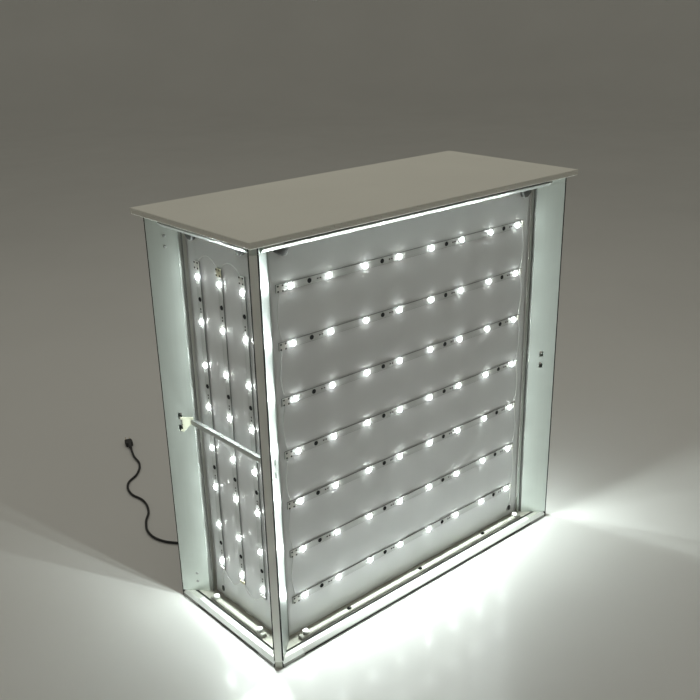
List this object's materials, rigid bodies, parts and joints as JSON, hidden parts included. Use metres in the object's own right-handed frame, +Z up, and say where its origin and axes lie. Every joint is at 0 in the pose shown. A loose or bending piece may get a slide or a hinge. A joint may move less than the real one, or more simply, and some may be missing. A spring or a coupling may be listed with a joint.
{
  "type": "backlit display counter",
  "caption": "Free-standing display counter with an aluminium frame, lit front and sides made of hanging LED curtains, an open back and a lift-off flat top.",
  "frame": {"origin": "centre of the counter's footprint on the floor", "axes": "+Z up, -Y out of the lit front, +X to the right as seen from the lit front"},
  "size_m": [1.015, 1.3175, 1],
  "materials": {
    "board": "matte",
    "post_metal": "satin anodised",
    "rail_metal": "satin anodised",
    "corner_metal": "satin",
    "sheet_white": "smooth coated sheet",
    "strip_white": "white bar with clear lenses",
    "rod_metal": "satin",
    "brace_metal": "satin",
    "cream_plastic": "satin",
    "driver_metal": "satin",
    "black_plastic": "matte",
    "cord_black": "matte"
  },
  "bodies": {
    "frame": {"bar_cap_left": "black_plastic", "bar_cap_middle": "black_plastic", "bar_cap_right": "black_plastic", "base_corner_front_left": "corner_metal", "base_corner_front_right": "corner_metal", "base_corner_rear_left": "corner_metal", "base_corner_rear_right": "corner_metal", "base_rail_front": "rail_metal", "base_rail_left": "rail_metal", "base_rail_rear": "rail_metal", "base_rail_right": "rail_metal", "cord_strain_relief": "black_plastic", "front_curtain_rod": "rod_metal", "front_hem_bar": "rod_metal", "front_led_bar_1": "strip_white", "front_led_bar_2": "strip_white", "front_led_bar_3": "strip_white", "front_led_bar_4": "strip_white", "front_led_bar_5": "strip_white", "front_led_bar_6": "strip_white", "front_led_bar_7": "strip_white", "front_led_lead": "black_plastic", "front_sheet": "sheet_white", "led_driver": "driver_metal", "left_curtain_rod": "rod_metal", "left_hem_bar": "rod_metal", "left_led_bar_1": "strip_white", "left_led_bar_2": "strip_white", "left_led_bar_3": "strip_white", "left_led_lead": "black_plastic", "left_sheet": "sheet_white", "post_front_left": "post_metal", "post_front_right": "post_metal", "post_rear_left": "post_metal", "post_rear_right": "post_metal", "power_cord": "cord_black", "power_plug": "black_plastic", "right_curtain_rod": "rod_metal", "right_hem_bar": "rod_metal", "right_led_bar_1": "strip_white", "right_led_bar_2": "strip_white", "right_led_bar_3": "strip_white", "right_led_lead": "black_plastic", "right_sheet": "sheet_white", "top_corner_front_left": "corner_metal", "top_corner_front_right": "corner_metal", "top_corner_rear_left": "corner_metal", "top_corner_rear_right": "corner_metal", "top_rail_front": "rail_metal", "top_rail_left": "rail_metal", "top_rail_rear": "rail_metal", "top_rail_right": "rail_metal"},
    "countertop": {"countertop": "board"},
    "left_brace": {"left_brace_bar": "brace_metal", "left_brace_hook_front": "cream_plastic", "left_brace_hook_rear": "cream_plastic"},
    "right_brace": {"right_brace_bar": "brace_metal", "right_brace_hook_front": "cream_plastic", "right_brace_hook_rear": "cream_plastic"}
  },
  "joints": [
    {"name": "countertop_lift", "type": "slide", "parent": "frame", "child": "countertop", "axis": [0, 0, 1], "range_m": [0, 0.03]},
    {"name": "left_brace_lift", "type": "slide", "parent": "frame", "child": "left_brace", "axis": [0, 0, 1], "range_m": [0, 0.007]},
    {"name": "right_brace_lift", "type": "slide", "parent": "frame", "child": "right_brace", "axis": [0, 0, 1], "range_m": [0, 0.007]}
  ]
}
